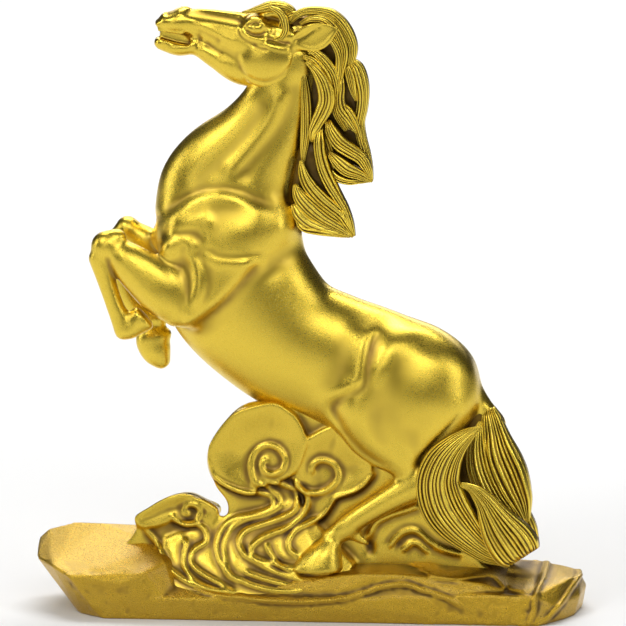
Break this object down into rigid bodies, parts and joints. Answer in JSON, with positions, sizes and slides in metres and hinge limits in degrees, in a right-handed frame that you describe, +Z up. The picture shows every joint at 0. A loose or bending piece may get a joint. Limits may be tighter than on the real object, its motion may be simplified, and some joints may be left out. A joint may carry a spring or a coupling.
{
  "type": "brass horse statue",
  "caption": "Cast brass rearing horse with flowing mane and tail over scrolling clouds, in one piece with a long rocky base",
  "frame": {"origin": "on the underside of the rocky base, at the middle of the base's length and depth", "axes": "X runs from the horse's nose towards its tail, -Y is the side that the statue shows, Z is up"},
  "size_m": [0.3207, 0.0835, 0.359],
  "materials": {
    "brass": "satin golden brass with a fine grain, darker in the grooves"
  },
  "bodies": {
    "root": {"horse_statue": "brass"}
  },
  "joints": []
}
